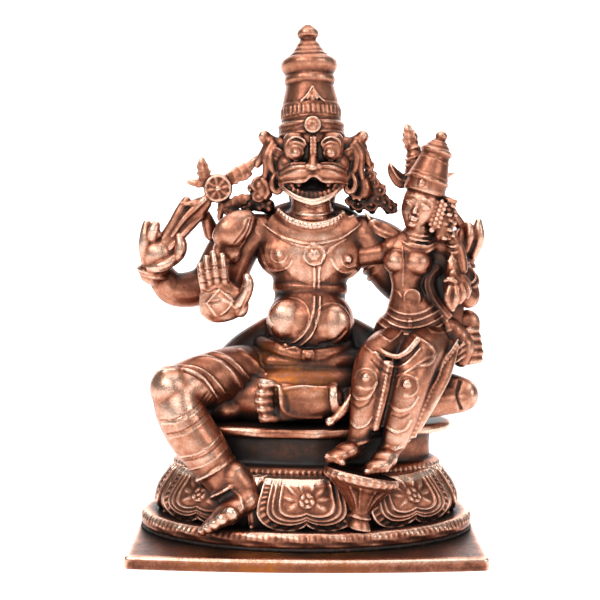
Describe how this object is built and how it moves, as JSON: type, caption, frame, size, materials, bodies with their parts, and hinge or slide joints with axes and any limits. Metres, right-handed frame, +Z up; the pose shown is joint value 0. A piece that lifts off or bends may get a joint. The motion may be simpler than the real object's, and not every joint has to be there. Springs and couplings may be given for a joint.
{
  "type": "lakshmi narasimha figure",
  "caption": "Small cast copper figure of Lakshmi Narasimha: the seated lion-headed deity with the goddess on its lap, on a drum seat and an oval lotus pedestal fixed to a rectangular plate.",
  "frame": {"origin": "on the flat underside of the base plate, at the middle of its width and depth without the bow of the front edge", "axes": "+Z up, -Y towards the viewer (the front of the figure), +X to the figure's left and the viewer's right"},
  "size_m": [0.0679, 0.0538, 0.1018],
  "materials": {
    "cast_copper": "polished high points over a brown to black patina in the recesses",
    "plate_copper": "satin, scratched and stained"
  },
  "bodies": {
    "root": {"deity_group_casting": "cast_copper", "base_plate": "plate_copper"}
  },
  "joints": []
}
